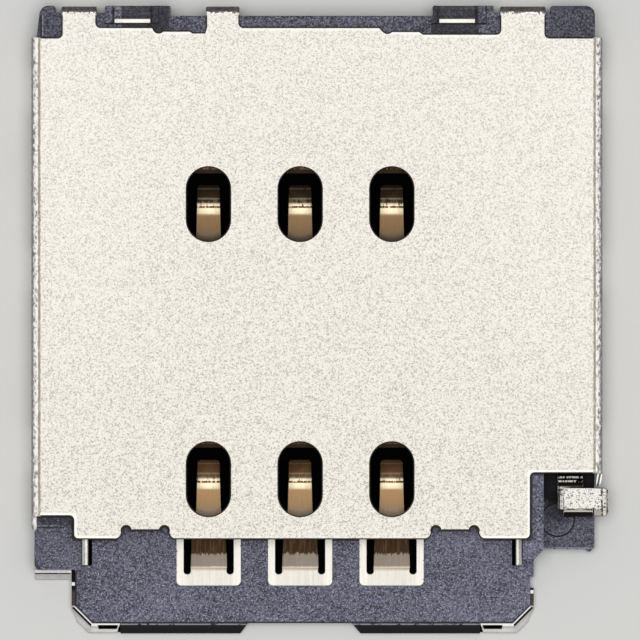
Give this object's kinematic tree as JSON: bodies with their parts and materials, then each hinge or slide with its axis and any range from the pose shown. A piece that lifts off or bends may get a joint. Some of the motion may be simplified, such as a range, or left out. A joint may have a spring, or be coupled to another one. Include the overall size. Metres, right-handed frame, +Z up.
{
  "type": "sim card socket",
  "caption": "Flat board-mounted socket for a nano SIM tray: black moulding with sprung gold contacts under a windowed steel shell, and a side push rod with lever that ejects the tray.",
  "frame": {"origin": "middle of the overall outline, on the board plane under the socket", "axes": "+Z up from the board, -Y out of the tray entry, +X towards the push rod"},
  "size_m": [0.016, 0.0174, 0.0015],
  "materials": {
    "black_moulding": "moulded dark grey plastic with a fine glass-filled speckle",
    "shell_steel": "pale nickel-plated steel sheet with a fine pebble grain",
    "contact_plating": "copper alloy, gold on the sprung beam and pale plating on the flat frame",
    "spring_steel": "bright spring strip",
    "nail_tin": "tinned sheet",
    "rod_steel": "pale plated steel sheet",
    "lever_steel": "plain stainless sheet"
  },
  "bodies": {
    "socket": {"housing": "black_moulding", "shell": "shell_steel", "contact_c1": "contact_plating", "contact_c2": "contact_plating", "contact_c3": "contact_plating", "contact_c5": "contact_plating", "contact_c6": "contact_plating", "contact_c7": "contact_plating", "tray_spring_left": "spring_steel", "tray_spring_right": "spring_steel", "front_nail_left": "nail_tin", "front_nail_right": "nail_tin", "rear_nail_left": "nail_tin", "rear_nail_right": "nail_tin"},
    "rod": {"push_rod": "rod_steel"},
    "lever": {"eject_lever": "lever_steel"}
  },
  "joints": [
    {"name": "rod_slide", "type": "slide", "parent": "socket", "child": "rod", "axis": [0, -1, 0], "range_m": [0, 0.0014]},
    {"name": "lever_pivot", "type": "hinge", "parent": "socket", "child": "lever", "pos_m": [0.00451, 0.0066, 0.0007], "axis": [0, 0, -1], "range_deg": [0, 33.95]}
  ],
  "couplings": [
    {"joint": "lever_pivot", "follows": "rod_slide", "rad_per_m": 422.8}
  ]
}
